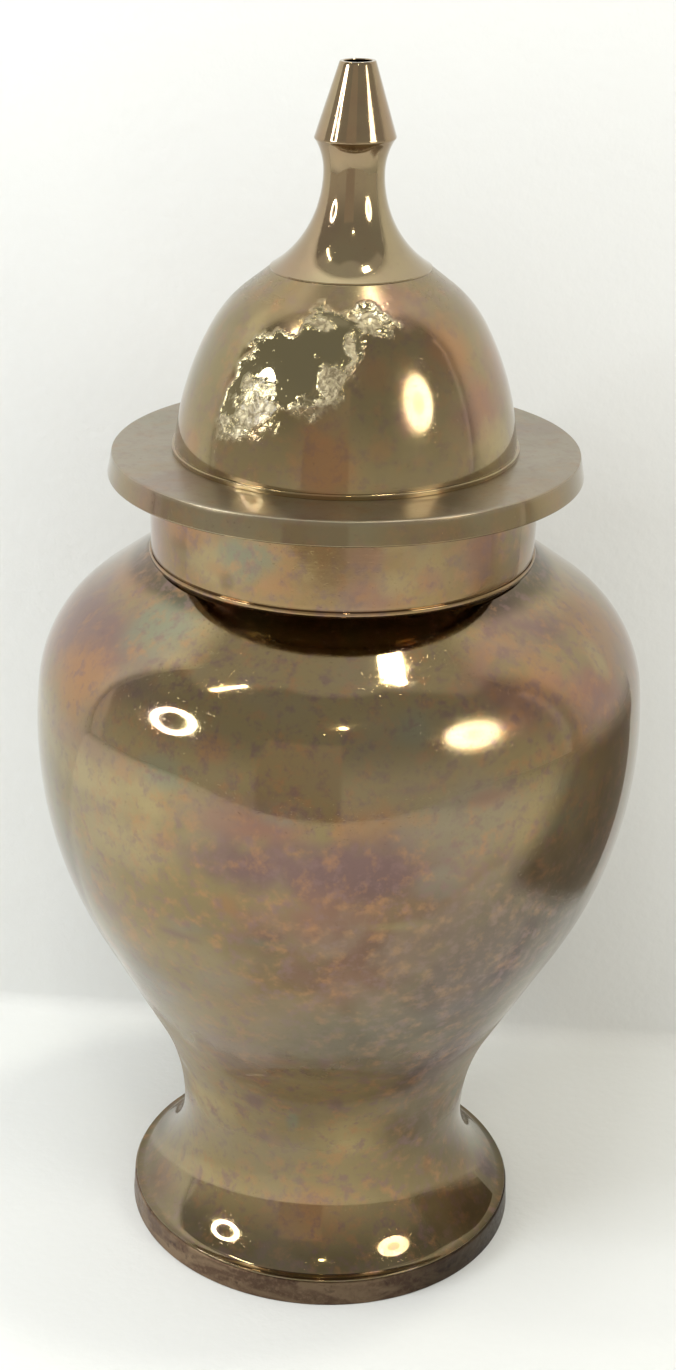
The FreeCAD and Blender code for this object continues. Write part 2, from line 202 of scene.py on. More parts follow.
def contact(centre, radius, inner):
    """Point where a circle touches one nested inside it."""
    span = math.dist(centre, inner)
    return tuple(c + (i - c) * radius / span for c, i in zip(centre, inner))


def pedestal_outer(step):
    """The pedestal's outside, from its flare up to the seam."""
    waist_radius = upright_arc_radius(WAIST, SEAM, FLANK_LEAN)
    waist_centre = (WAIST[0] + waist_radius, WAIST[1])
    touch = tangent_point(waist_centre, waist_radius, FLANK_LEAN, -1)
    return np.concatenate([
        arc(FLARE, WAIST, upright_circle(WAIST, FLARE), step),
        arc(WAIST, touch, waist_centre, step),
        line(touch, SEAM, step),
        [SEAM],
    ])


def bowl_outer(step):
    """The bowl's outside, from the seam up to the neck."""
    belly_radius = upright_arc_radius(BELLY, SEAM, FLANK_LEAN)
    belly_centre = (BELLY[0] - belly_radius, BELLY[1])
    low_touch = tangent_point(belly_centre, belly_radius, FLANK_LEAN, 1)
    shoulder = nested_centre(belly_centre, belly_radius, SHOULDER_ARC, SEAT, SHOULDER_LEAN)
    high_touch = contact(belly_centre, belly_radius, shoulder)
    shoulder_end = tangent_point(shoulder, SHOULDER_ARC, SHOULDER_LEAN, 1)
    return np.concatenate([
        line(SEAM, low_touch, step),
        arc(low_touch, high_touch, belly_centre, step),
        arc(high_touch, shoulder_end, shoulder, step),
        line(shoulder_end, SEAT, step),
        [SEAT],
    ])


def dome_outer(step):
    """The dome's outside, from its ledge up to the finial."""
    spring = (DOME_FOOT[0], LEDGE_TOP)
    rise = spring[1] - SIDE_HEIGHT
    side = (spring[0] - math.sqrt(SIDE_ARC**2 - rise**2), SIDE_HEIGHT)
    crown = nested_centre(side, SIDE_ARC, CROWN_ARC, CROWN, CROWN_LEAN)
    touch = contact(side, SIDE_ARC, crown)
    crown_end = tangent_point(crown, CROWN_ARC, CROWN_LEAN, 1)
    return np.concatenate([
        arc(spring, touch, side, step),
        arc(touch, crown_end, crown, step),
        line(crown_end, CROWN, step),
        [CROWN],
    ])


def inner_wall(outer, every):
    """The outline's inside, a wall's thickness in, from its last point back to its first."""
    along = np.gradient(outer, axis=0)
    along = along / np.linalg.norm(along, axis=1)[:, None]
    inside = outer + WALL * np.stack([-along[:, 1], along[:, 0]], axis=1)
    inside[0, 1] = outer[0, 1]
    inside[-1, 1] = outer[-1, 1]
    picks = list(range(0, len(outer) - 1, every)) + [len(outer) - 1]
    return inside[picks][::-1]


# ---------------------------------------------------------------- meshes

def bearing_of(points):
    """Bearings of points, in degrees from -180 to 180."""
    return np.degrees(np.arctan2(points[:, 0], -points[:, 1]))


def fractal(points, scale, octaves=3, seed=0.0):
    """Smooth noise at points, about -1 to 1, with features scale metres across."""
    shift = Vector((seed * 7.31, seed * 3.17, seed * 5.93))
    return np.array([noise.fractal(Vector(p) / scale + shift, 0.9, 2.1, octaves) for p in points])


def smoothstep(low, high, value):
    """0 below low and 1 above high, eased between them."""
    share = np.clip((value - low) / (high - low), 0, 1)
    return share * share * (3 - 2 * share)


def vertex_array(mesh, what):
    """A mesh's "co" or "normal", one row for each vertex."""
    values = np.zeros(len(mesh.vertices) * 3)
    mesh.vertices.foreach_get(what, values)
    return values.reshape(-1, 3)


def push_out(mesh, amounts):
    """Move each vertex along its normal by its own amount."""
    moved = vertex_array(mesh, "co") + amounts[:, None] * vertex_array(mesh, "normal")
    mesh.vertices.foreach_set("co", moved.ravel())
    mesh.update()


def lathe(name, outline, around, relief=None):
    """A turned solid. relief(points) gives how far each point moves outwards along its normal."""
    turn = [(math.cos(a), math.sin(a)) for a in 2 * math.pi * np.arange(around) / around]
    mesh_maker = bmesh.new()
    rings = []
    for radius, height in np.asarray(outline, float):
        places = turn if radius > 0 else [(0, 0)]
        rings.append([mesh_maker.verts.new((radius * x, radius * y, height)) for x, y in places])
    for index, ring in enumerate(rings):
        above = rings[(index + 1) % len(rings)]
        if len(ring) == 1 and len(above) == 1:
            continue
        for i in range(around):
            j = (i + 1) % around
            if len(ring) == 1:
                mesh_maker.faces.new((ring[0], above[j], above[i]))
            elif len(above) == 1:
                mesh_maker.faces.new((ring[i], ring[j], above[0]))
            else:
                mesh_maker.faces.new((ring[i], ring[j], above[j], above[i]))
    bmesh.ops.recalc_face_normals(mesh_maker, faces=mesh_maker.faces)
    mesh = bpy.data.meshes.new(name)
    mesh_maker.to_mesh(mesh)
    mesh_maker.free()
    mesh.shade_smooth()
    mesh.set_sharp_from_angle(angle=math.radians(SHARP_ANGLE))
    if relief:
        push_out(mesh, relief(vertex_array(mesh, "co")))
    piece = bpy.data.objects.new(name, mesh)
    bpy.context.scene.collection.objects.link(piece)
    return piece


def beyond(points, inner, outer):
    """0 at radii under inner and 1 at radii over outer, to pick out a piece's outside."""
    return smoothstep(inner, outer, np.hypot(points[:, 0], points[:, 1]))


def paint(piece, name, values):
    """Store a number per vertex, for the material to read."""
    layer = piece.data.attributes.new(name, "FLOAT", "POINT")
    layer.data.foreach_set("value", np.asarray(values, np.float32))


def paint_colour(piece, name, colours):
    """Store a colour per vertex, for the material to read."""
    layer = piece.data.attributes.new(name, "FLOAT_COLOR", "POINT")
    layer.data.foreach_set("color", np.asarray(colours, np.float32).ravel())


# ---------------------------------------------------------------- tarnish and painted shade

GOLD = (0.315, 0.24, 0.118)
OLIVE = (0.25, 0.20, 0.10)
YELLOW = (0.43, 0.33, 0.155)
TAN = (0.33, 0.22, 0.10)
ORANGE = (0.41, 0.215, 0.10)
ROSE = (0.335, 0.185, 0.13)
MAUVE = (0.235, 0.145, 0.13)
GREEN = (0.25, 0.25, 0.165)
GREY = (0.29, 0.245, 0.175)
BROWN = (0.15, 0.095, 0.052)

BACK = (92, 268)
ALL_ROUND = (-180, 180)

# Patches on the skin are soft-edged ovals. Each is written as bearing, height in mm, half width in
# degrees, half height in mm, and what it does there. A half width of 180 is a band right round.

# stains on the bowl and pedestal, with their colour and strength
STAINS = (
    (-70, 206, 22, 12, YELLOW, 0.9),
    (-74, 176, 26, 16, YELLOW, 0.8),
    (-90, 240, 20, 12, ROSE, 0.9),
    (6, 168, 26, 20, ROSE, 0.7),
    (84, 226, 18, 14, ROSE, 0.8),
    (-78, 252, 18, 7, ORANGE, 0.8),
    (-66, 239, 22, 11, MAUVE, 0.9),
    (-48, 249, 9, 7, GREEN, 0.9),
    (-86, 226, 14, 12, ROSE, 0.7),
    (-58, 227, 11, 9, ORANGE, 0.8),
    (-52, 212, 16, 7, ROSE, 0.7),
    (-46, 203, 16, 8, YELLOW, 1.0),
    (-42, 186, 13, 9, YELLOW, 0.9),
    (-60, 165, 18, 22, GREY, 0.8),
    (-38, 160, 12, 16, GOLD, 0.7),
    (-14, 204, 12, 9, ROSE, 1.0),
    (-14, 190, 12, 10, MAUVE, 1.0),
    (6, 206, 8, 7, ORANGE, 0.8),
    (4, 190, 14, 12, MAUVE, 1.0),
    (-2, 168, 14, 14, ROSE, 0.8),
    (8, 150, 14, 18, ROSE, 0.7),
    (-50, 128, 16, 14, GREY, 0.9),
    (-16, 132, 14, 14, TAN, 0.8),
    (32, 150, 16, 34, MAUVE, 0.9),
    (24, 205, 10, 14, GREY, 0.6),
    (38, 242, 10, 10, ROSE, 0.9),
    (44, 238, 6, 6, ORANGE, 0.8),
    (54, 250, 14, 8, MAUVE, 0.9),
    (56, 228, 14, 10, ROSE, 1.0),
    (74, 240, 12, 12, ORANGE, 0.7),
    (66, 252, 16, 5, YELLOW, 0.8),
    (64, 180, 14, 22, OLIVE, 0.8),
    (10, 118, 16, 12, OLIVE, 0.9),
    (-26, 100, 14, 14, MAUVE, 0.5),
    (4, 96, 10, 12, GOLD, 0.6),
    (34, 96, 16, 18, MAUVE, 0.8),
    (-8, 74, 12, 10, BROWN, 0.25),
    (-46, 62, 16, 9, YELLOW, 0.9),
    (10, 60, 14, 8, YELLOW, 0.7),
    (-18, 56, 10, 7, BROWN, 0.15),
    (42, 60, 16, 14, BROWN, 0.5),
    (-64, 28, 18, 12, YELLOW, 0.6),
    (-70, 16, 14, 6, ROSE, 0.8),
    (-4, 30, 14, 10, ORANGE, 0.6),
    (66, 24, 14, 10, TAN, 0.7),
)

# painted shade over large parts of them, darkest low on the right and in a ring under the neck, with the
# share of the colour that is left
PAINTED_SHADES = (
    (0, 150, 180, 60, 0.86),
    (-2, 176, 44, 34, 0.84),
    (36, 136, 52, 50, 0.44),
    (72, 190, 30, 60, 0.72),
    (64, 70, 44, 80, 0.66),
    (16, 60, 60, 50, 0.90),
    (-80, 96, 26, 60, 0.85),
    (0, 10, 180, 9, 0.62),
    (0, 255.5, 180, 4.5, 0.35),
)

# duller skin, with the roughness that it adds
HAZES = (
    (-20, 185, 40, 18, 0.05),
    (0, 160, 60, 26, 0.10),
    (30, 226, 18, 14, 0.11),
    (-60, 120, 70, 24, 0.10),
    (40, 130, 50, 40, 0.10),
    (0, 82, 180, 26, 0.36),
    (0, 64, 180, 14, 0.40),
    (-70, 240, 24, 12, 0.025),
    (66, 236, 24, 12, 0.025),
)


def scattered(seed, count, colours, heights, bearings=BACK, wide=(8, 20), tall=(6, 18), strength=(0.5, 1)):
    """Stains at random places, written like the named ones."""
    random = np.random.default_rng(seed)
    found = []
    for _ in range(count):
        place = [random.uniform(*span) for span in (bearings, heights, wide, tall)]
        found.append((*place, colours[random.integers(len(colours))], random.uniform(*strength)))
    return tuple(found)


def reaches(points, patches):
    """Each patch, with every point's distance from its middle: 0 there and 1 at the oval's edge."""
    bearing = bearing_of(points)
    height = points[:, 2] / MM
    for patch in patches:
        at, level, wide, tall = patch[:4]
        across = 0 if wide >= 180 else ((bearing - at + 180) % 360 - 180) / wide
        yield np.sqrt(across**2 + ((height - level) / tall) ** 2), patch


def stained(points, base, stains):
    """The metal's colour at each point: base, with stains over it."""
    colours = np.tile(np.array(base, float), (len(points), 1))
    wander = fractal(points, 0.03, 3, 1.0)
    ragged = fractal(points, 0.005, 3, 2.0)
    for reach, (*_, colour, strength) in reaches(points, stains):
        amount = strength * (1 - smoothstep(0.3, 1.4, reach + 0.5 * wander + 0.25 * ragged))
        colours += amount[:, None] * (np.array(colour) - colours)
    return np.concatenate([colours, np.ones((len(points), 1))], axis=1)


def painted_shade_over(points, colours, painted_shades):
    """Colours with painted shade laid over them in large dark patches."""
    wander = fractal(points, 0.03, 4, 17.0)
    left = np.ones(len(points))
    for reach, (*_, share) in reaches(points, painted_shades):
        left *= 1 - (1 - share) * (1 - smoothstep(0.35, 1.25, reach + 0.25 * wander))
    return colours * np.stack([left, left, left, np.ones(len(points))], axis=1)


def hazed(points, hazes):
    """Added roughness at each point."""
    wander = fractal(points, 0.016, 3, 15.0)
    added = np.zeros(len(points))
    for reach, (*_, amount) in reaches(points, hazes):
        added = np.maximum(added, amount * (1 - smoothstep(0.3, 1.3, reach + 0.4 * wander)))
    return added


def body_colours(points):
    """The bowl's and pedestal's skin: the named stains, small ones all round and more at the back, with
    painted shade over them.
    """
    colours = (ROSE, MAUVE, YELLOW, ORANGE, GREY, OLIVE, GREEN, TAN)
    back = scattered(11, 46, colours, (15, 252))
    small = scattered(23, 150, colours, (12, 252), ALL_ROUND, (2, 7), (1.5, 6), (0.4, 0.9))
    return painted_shade_over(points, stained(points, GOLD, STAINS + back + small), PAINTED_SHADES)


# ---------------------------------------------------------------- materials

class Nodes:
    """Short names for the shader nodes of one material, or of the world."""

    def __init__(self, owner):
        owner.use_nodes = True
        self.tree = owner.node_tree

    def add(self, kind, **settings):
        node = self.tree.nodes.new(kind)
        for key, value in settings.items():
            setattr(node, key, value)
        return node

    def link(self, source, target):
        self.tree.links.new(source, target)

    def fill(self, socket, value):
        """Give a socket a number, a colour or another node's output."""
        if isinstance(value, tuple):
            socket.default_value = (*value, 1.0)
        elif isinstance(value, (float, int)):
            socket.default_value = value
        else:
            self.link(value, socket)

    def object_point(self, stretch=(1, 1, 1)):
        place = self.add("ShaderNodeTexCoord").outputs["Object"]
        mapping = self.add("ShaderNodeMapping")
        mapping.inputs["Scale"].default_value = stretch
        self.link(place, mapping.inputs["Vector"])
        return mapping.outputs["Vector"]

    def axes(self, vector):
        """A vector's X, Y and Z."""
        split = self.add("ShaderNodeSeparateXYZ")
        self.link(vector, split.inputs[0])
        return split.outputs

    def noise(self, size, detail=4.0, stretch=(1, 1, 1), distortion=0.0, roughness=0.55):
        """Cloudy noise, about 0.5 on average, with features size metres across."""
        node = self.add("ShaderNodeTexNoise")
        node.inputs["Scale"].default_value = 1 / size
        node.inputs["Detail"].default_value = detail
        node.inputs["Roughness"].default_value = roughness
        node.inputs["Distortion"].default_value = distortion
        self.link(self.object_point(stretch), node.inputs["Vector"])
        return node.outputs["Fac"]

    def spread(self, value, low, high, out_low=0.0, out_high=1.0):
        """A value mapped from low and high to out_low and out_high, eased at both ends."""
        node = self.add("ShaderNodeMapRange", interpolation_type="SMOOTHSTEP")
        numbers = {"From Min": low, "From Max": high, "To Min": out_low, "To Max": out_high}
        for key, number in numbers.items():
            node.inputs[key].default_value = number
        self.link(value, node.inputs["Value"])
        return node.outputs["Result"]

    def mix(self, amount, first, second, blend="MIX"):
        """First where amount is 0, second where it is 1."""
        node = self.add("ShaderNodeMix", data_type="RGBA", blend_type=blend)
        for key, value in (("Factor", amount), ("A", first), ("B", second)):
            self.fill(next(s for s in node.inputs if s.name == key and s.enabled), value)
        return next(s for s in node.outputs if s.enabled)

    def maths(self, operation, *values):
        node = self.add("ShaderNodeMath", operation=operation)
        for socket, value in zip(node.inputs, values):
            self.fill(socket, value)
        return node.outputs[0]

    def attribute(self, name, kind="Fac"):
        """What is painted on the piece: a number, or with kind "Color" a colour."""
        return self.add("ShaderNodeAttribute", attribute_name=name).outputs[kind]

    def bump(self, height, distance, under=None):
        node = self.add("ShaderNodeBump")
        node.inputs["Distance"].default_value = distance
        node.inputs["Strength"].default_value = 1.0
        self.link(height, node.inputs["Height"])
        if under:
            self.link(under, node.inputs["Normal"])
        return node.outputs["Normal"]


class Surface(Nodes):
    """A new material with one Principled shader."""

    def __init__(self, name):
        self.material = bpy.data.materials.new(name)
        super().__init__(self.material)
        self.shader = self.tree.nodes["Principled BSDF"]

    def feed(self, **sources):
        """Fill the shader's sockets; Base_Color is its Base Color."""
        for name, source in sources.items():
            self.fill(self.shader.inputs[name.replace("_", " ")], source)

    def source(self, name):
        """What feeds one of the shader's sockets."""
        return self.shader.inputs[name].links[0].from_socket

    def show(self, result):
        """Make a shader what the material shows, in place of the Principled one."""
        self.link(result, self.tree.nodes["Material Output"].inputs["Surface"])

    def fade_out(self, share):
        """Show the shader where share is 0 and nothing where it is 1."""
        both = self.add("ShaderNodeMixShader")
        self.link(share, both.inputs["Fac"])
        self.link(self.shader.outputs["BSDF"], both.inputs[1])
        self.link(self.add("ShaderNodeBsdfTransparent").outputs["BSDF"], both.inputs[2])
        self.show(both.outputs["Shader"])


def brass(name, base=None, rough=0.065, cloud=0.025, speckle=0.5, turning=0.6, tint=1.0):
    """Old lacquered brass. With no base colour it reads the stains and painted shade stored on the piece.
    """
    made = Surface(name)
    large = made.noise(0.045, 5.0, distortion=0.4)
    middle = made.noise(0.006, 6.0, roughness=0.65)
    small = made.noise(0.0045, 6.0, roughness=0.65)
    fine = made.noise(0.0016, 4.0, roughness=0.7)
    if base is None:
        colour = made.attribute("stain_and_shade", "Color")
    else:
        darker = tuple(part * left for part, left in zip(base, (0.9, 0.8, 0.86)))
        colour = made.mix(made.spread(large, 0.35, 0.68), base, darker)
    warm = made.mix(made.spread(middle, 0.48, 0.70, 0.0, 0.62 * tint), colour, ORANGE)
    mauve = made.mix(made.spread(small, 0.48, 0.68, 0.0, 0.7 * tint), warm, MAUVE)
    cool = made.mix(made.spread(large, 0.55, 0.36, 0.0, 0.35 * tint), mauve, GREY)
    spotted = made.mix(made.spread(fine, 0.6, 0.78, 0.0, speckle), cool, BROWN)

    smear = made.noise(0.03, 5.0, stretch=(1, 1, 2.2), distortion=1.6)
    cloudy = made.spread(smear, 0.35, 0.75, rough - cloud, rough + cloud)
    prints = made.spread(made.noise(0.007, 3.0, distortion=2.5), 0.5, 0.66, 0.0, 0.03)
    rings = made.noise(0.0011, 3.0, stretch=(0.01, 0.01, 1))
    lined = made.spread(rings, 0.35, 0.7, 0.0, turning * 0.03)
    dulled = made.maths("ADD", made.maths("ADD", cloudy, prints), lined)
    roughness = made.maths("ADD", dulled, made.attribute("haze"))

    peel = made.bump(made.noise(0.0045, 2.0), 0.000006)
    lines = made.bump(rings, 0.000003 * turning, under=peel)
    pits = made.bump(made.spread(made.noise(0.0014, 2.0), 0.72, 0.66), 0.00002 * speckle, under=lines)
    made.feed(Base_Color=spotted, Roughness=roughness, Normal=pits)
    made.feed(Metallic=1.0, Coat_Weight=0.25, Coat_Roughness=0.02)
    return made


def dome_brass():
    """Brass of the dome, bare where its lacquer has peeled and pale where loose film is left."""
    made = brass("brass_dome", rough=0.06, cloud=0.02, tint=0.6)
    bare = made.attribute("bare")
    flake = made.attribute("flake")
    cleaned = made.mix(bare, made.source("Base Color"), (0.30, 0.25, 0.135))
    creased = made.noise(0.0022, 4.0, distortion=1.0, roughness=0.65)
    film = made.mix(made.spread(creased, 0.38, 0.62), (0.26, 0.21, 0.13), (0.58, 0.50, 0.33))
    shiny = made.maths("SUBTRACT", made.source("Roughness"), made.maths("MULTIPLY", bare, 0.02))
    broken = made.maths("ADD", shiny, made.maths("MULTIPLY", flake, 0.30))
    creases = made.bump(made.maths("MULTIPLY", creased, flake), 0.0007, under=made.source("Normal"))
    made.feed(Base_Color=made.mix(flake, cleaned, film), Roughness=broken, Normal=creases)
    return made


def foot_brass():
    """The foot band: matt red-brown metal, rubbed paler in patches, darkened by the painted shade stored on
    the piece.
    """
    made = Surface("brass_foot_band")
    large = made.noise(0.02, 6.0, stretch=(1, 1, 2.5), distortion=1.2)
    fine = made.noise(0.0018, 5.0, roughness=0.7)
    worn = made.mix(made.spread(large, 0.4, 0.65), (0.19, 0.115, 0.075), (0.36, 0.25, 0.155))
    rubbed = made.mix(made.spread(fine, 0.45, 0.7, 0.0, 0.6), worn, (0.44, 0.30, 0.19))
    specks = made.spread(made.noise(0.004, 5.0), 0.55, 0.72, 0.0, 0.75)
    dark = made.mix(specks, rubbed, (0.10, 0.06, 0.045))
    # painted shade: the stored shade darkens the band towards the right
    in_painted_shade = made.mix(1.0, dark, made.attribute("stain_and_shade", "Color"), "MULTIPLY")
    roughness = made.spread(fine, 0.3, 0.75, 0.3, 0.5)
    made.feed(Base_Color=in_painted_shade, Roughness=roughness, Normal=made.bump(fine, 0.00008), Metallic=0.9)
    return made


def dull_brass(name, base, rough):
    """Unpolished brass inside the jar and under the lid."""
    made = Surface(name)
    cloud = made.noise(0.018, 6.0, distortion=0.7)
    fine = made.noise(0.0015, 4.0, roughness=0.7)
    tone = made.mix(made.spread(cloud, 0.35, 0.7), base, tuple(part * 0.62 for part in base))
    spotted = made.mix(made.spread(fine, 0.55, 0.75, 0.0, 0.5), tone, BROWN)
    roughness = made.spread(cloud, 0.3, 0.7, rough, rough + 0.15)
    made.feed(Base_Color=spotted, Roughness=roughness, Normal=made.bump(fine, 0.00005), Metallic=1.0)
    return made


def dress(piece, made, body, slot, *nodes):
    """Give a piece its material and its body, and hide the CAD nodes that it stands for."""
    piece.data.materials.clear()
    piece.data.materials.append(made.material)
    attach(piece, body)
    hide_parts(*nodes)


# ---------------------------------------------------------------- jar

def spun_relief(points):
    """The slight unevenness that spinning and handling leave in thin sheet."""
    slow = fractal(points, 0.07, 2, 3.0) * 0.05 * MM
    close = fractal(points * np.array([1, 1, 1.6]), 0.02, 1, 4.0) * 0.004 * MM
    return slow + close


def faded_in(relief, from_height):
    """Relief that fades in above a height, so that the joints with neighbours stay tight."""
    def limited(points):
        return relief(points) * smoothstep(from_height, from_height + 6 * MM, points[:, 2])
    return limited


# painted shade on the foot band, darkest on the right, with the share of the colour that is left
FOOT_PAINTED_SHADES = (
    (0, 5, 180, 30, 0.75),
    (14, 5, 50, 30, 0.62),
    (74, 5, 52, 30, 0.24),
)


def make_foot_ring():
    """The turned band that the jar stands on, its outside worn uneven."""
    corners = (
        (BAND_BORE, FOOT_LOW.z, 0),
        (FOOT_HIGH.x, FOOT_LOW.z, EDGE_ROUND),
        (BAND_TOP, FOOT_HIGH.z, EDGE_ROUND),
        (BAND_BORE, FOOT_HIGH.z, 0),
    )

    def worn(points):
        outside = beyond(points, 68 * MM, 70 * MM)
        inside = smoothstep(0.8 * MM, 2.0 * MM, points[:, 2])
        return outside * inside * (fractal(points, 0.006, 4, 5.0) * 0.07 * MM - 0.02 * MM)

    piece = lathe("foot_band_turned", rounded(corners, BAND_STEP), BAND_AROUND, worn)
    points = vertex_array(piece.data, "co")
    # painted shade on the band, darker towards the right
    paint_colour(piece, "stain_and_shade", painted_shade_over(points, np.ones((len(points), 4)), FOOT_PAINTED_SHADES))
    dress(piece, foot_brass(), "jar", "foot_brass", "foot_ring")


def make_pedestal(material):
    """The flared pedestal, with the lip that sits on the foot band."""
    outer = pedestal_outer(PEDESTAL_STEP)
    top = FLARE[1] + LIP_HEIGHT
    lip = rounded((
        (FLARE[0] - WALL, FLARE[1], 0),
        (LIP_RADIUS, FLARE[1], 0.05 * MM),
        (LIP_RADIUS, top, 0.35 * MM),
        (FLARE[0] - WALL, top, 0),
    ), LIP_STEP)
    start = next(i for i, point in enumerate(outer) if point[1] > top)
    rim = lip[lip[:, 0] > FLARE[0] - 0.5 * MM]
    outline = np.concatenate([rim, outer[start:], inner_wall(outer, INSIDE_EVERY)])
    relief = faded_in(spun_relief, FLARE[1] + 2 * MM)
    piece = lathe("pedestal_spun", outline, PEDESTAL_AROUND, relief)
    points = vertex_array(piece.data, "co")
    # stains with painted shade over them
    paint_colour(piece, "stain_and_shade", body_colours(points))
    paint(piece, "haze", hazed(points, HAZES))
    dress(piece, material, "jar", "polished_brass", "foot_shell")


def make_bowl(material):
    """The bowl with its shoulder, and the stub that stands inside the collar."""
    outer = bowl_outer(BOWL_STEP)
    stub_top = BOWL_HIGH.z
    neck = np.concatenate([
        line((STUB_RADIUS, SEAT[1]), (STUB_RADIUS, stub_top), 2 * MM),
        [(STUB_RADIUS, stub_top), (STUB_RADIUS - WALL, stub_top)],
    ])
    inside = inner_wall(outer, INSIDE_EVERY)
    inside[0] = (STUB_RADIUS - WALL, SEAT[1] - 1.2 * MM)
    outline = np.concatenate([outer, neck, inside])
    piece = lathe("bowl_spun", outline, BOWL_AROUND, spun_relief)
    points = vertex_array(piece.data, "co")
    # stains with painted shade over them
    paint_colour(piece, "stain_and_shade", body_colours(points))
    paint(piece, "haze", hazed(points, HAZES))
    dress(piece, material, "jar", "polished_brass", "body_shell")


# stains of the neck, and painted shade over its left and right
NECK_STAINS = (
    (-52, 274, 12, 6, ORANGE, 0.9),
    (-38, 266, 10, 6, YELLOW, 0.8),
    (-26, 270, 9, 7, GREEN, 0.9),
    (-6, 266, 10, 8, TAN, 0.9),
    (10, 262, 9, 6, ROSE, 0.9),
    (26, 268, 8, 9, YELLOW, 0.6),
    (42, 270, 8, 9, ROSE, 0.9),
    (60, 268, 10, 8, OLIVE, 0.8),
    (-74, 266, 12, 8, ROSE, 0.8),
)
NECK_PAINTED_SHADES = (
    (-46, 268, 26, 30, 0.86),
    (60, 268, 46, 30, 0.85),
)


def make_collar():
    """The straight sleeve round the neck, with a bead and a groove at its foot."""
    foot = SEAT[1]
    bead_top = foot + BEAD_HEIGHT
    groove_top = bead_top + GROOVE_HEIGHT
    floor = COLLAR_RADIUS - GROOVE_DEPTH
    corners = (
        (STUB_RADIUS, foot, 0),
        (BEAD_RADIUS, foot, 0.15 * MM),
        (BEAD_RADIUS, bead_top, 0.45 * MM),
        (floor, bead_top, 0.08 * MM),
        (floor, groove_top, 0.08 * MM),
        (COLLAR_RADIUS, groove_top, 0.12 * MM),
        (COLLAR_RADIUS, COLLAR_HIGH.z, EDGE_ROUND),
        (STUB_RADIUS, COLLAR_HIGH.z, EDGE_ROUND),
    )

    def handled(points):
        outside = beyond(points, 60.6 * MM, 61 * MM)
        return outside * fractal(points, 0.03, 2, 6.0) * 0.02 * MM

    piece = lathe("collar_spun", rounded(corners, COLLAR_STEP), COLLAR_AROUND, handled)
    points = vertex_array(piece.data, "co")
    back = scattered(5, 14, (ROSE, YELLOW, GREEN, ORANGE), (258, 282), tall=(4, 9))
    colours = (ROSE, YELLOW, BROWN, ORANGE)
    small = scattered(6, 50, colours, (258, 282), ALL_ROUND, (2, 6), (1.5, 5), (0.3, 0.7))
    skin = stained(points, TAN, NECK_STAINS + back + small)
    # stains with painted shade over them
    paint_colour(piece, "stain_and_shade", painted_shade_over(points, skin, NECK_PAINTED_SHADES))
    dress(piece, brass("brass_collar", rough=0.08), "jar", "polished_brass", "neck_collar")


# ---------------------------------------------------------------- lid

FLANGE_COLOUR = (0.34, 0.29, 0.215)
RIM_COLOUR = (0.27, 0.205, 0.108)


def make_flange():
    """The lid's flat plate with its turned-down rim."""
    top = FLANGE_HIGH.z
    under = top - FLANGE_PLATE
    corners = (
        (FLANGE_BORE, under, 0),
        (RIM_BORE, under, 0.3 * MM),
        (RIM_BORE, FLANGE_LOW.z, 0.15 * MM),
        (FLANGE_HIGH.x, FLANGE_LOW.z, EDGE_ROUND),
        (FLANGE_EDGE, top, EDGE_ROUND),
        (FLANGE_BORE, top, 0),
    )

    def knocked(points):
        outside = beyond(points, 55 * MM, 60 * MM)
        return outside * fractal(points, 0.035, 2, 7.0) * 0.02 * MM

    piece = lathe("flange_turned", rounded(corners, FLANGE_STEP), FLANGE_AROUND, knocked)
    points = vertex_array(piece.data, "co")
    flat = smoothstep(top - 0.6 * MM, top - 0.2 * MM, points[:, 2])[:, None]
    colours = (ROSE, GREY, BROWN, TAN, GREEN, MAUVE)
    stains = scattered(21, 26, colours, (282, 289), ALL_ROUND, (4, 16), (6, 7), (0.1, 0.4))
    face = stained(points, FLANGE_COLOUR, stains)
    rim = stained(points, RIM_COLOUR, stains)
    paint_colour(piece, "stain_and_shade", flat * face + (1 - flat) * rim)
    paint(piece, "haze", 0.3 * flat[:, 0])
    made = brass("brass_flange", speckle=0.6, turning=1.0, tint=0.4)
    dress(piece, made, "lid", "flange_brass", "lid_flange")


# where the dome's lacquer has peeled
PEELED = (
    (-24, 322.0, 22, 8.5),
    (-40, 311.0, 8, 9.0),
    (-8, 331.0, 16, 6.5),
    (12, 335.5, 11, 3.6),
)
# where a loose film of it is left
FILM = (
    (-33, 311.5, 9, 8.0),
    (-42, 305.0, 7, 4.0),
    (-13, 313.5, 7, 3.5),
    (-5, 320.0, 4.5, 6.0),
    (1, 328.0, 3.0, 6.0),
    (10, 335.0, 9, 3.2),
    (-14, 334.5, 10, 1.8),
)
# stains of the dome, and painted shade over its crown and front left
DOME_STAINS = (
    (-66, 320, 26, 16, OLIVE, 0.8),
    (-80, 300, 18, 9, TAN, 0.7),
    (-30, 338, 26, 5, TAN, 0.7),
    (-6, 298, 9, 9, ORANGE, 0.7),
    (28, 338, 20, 5, ROSE, 0.8),
    (46, 326, 14, 9, ORANGE, 0.9),
    (54, 308, 14, 12, ROSE, 0.9),
    (62, 298, 14, 7, YELLOW, 0.9),
    (78, 318, 16, 14, ROSE, 0.7),
    (20, 310, 14, 14, OLIVE, 0.7),
)
DOME_PAINTED_SHADES = (
    (0, 341, 180, 14, 0.84),
    (-30, 306, 26, 20, 0.85),
)


def peeled_depth(points):
    """How far inside the peeled patch a point is, in metres; negative outside it."""
    depth = np.full(len(points), -1.0)
    for reach, (*_, tall) in reaches(points, PEELED):
        depth = np.maximum(depth, (1 - reach) * tall * MM)
    torn = fractal(points, 0.0075, 4, 8.0) * 2.6 * MM + fractal(points, 0.0022, 3, 9.0) * 0.7 * MM
    return depth + torn


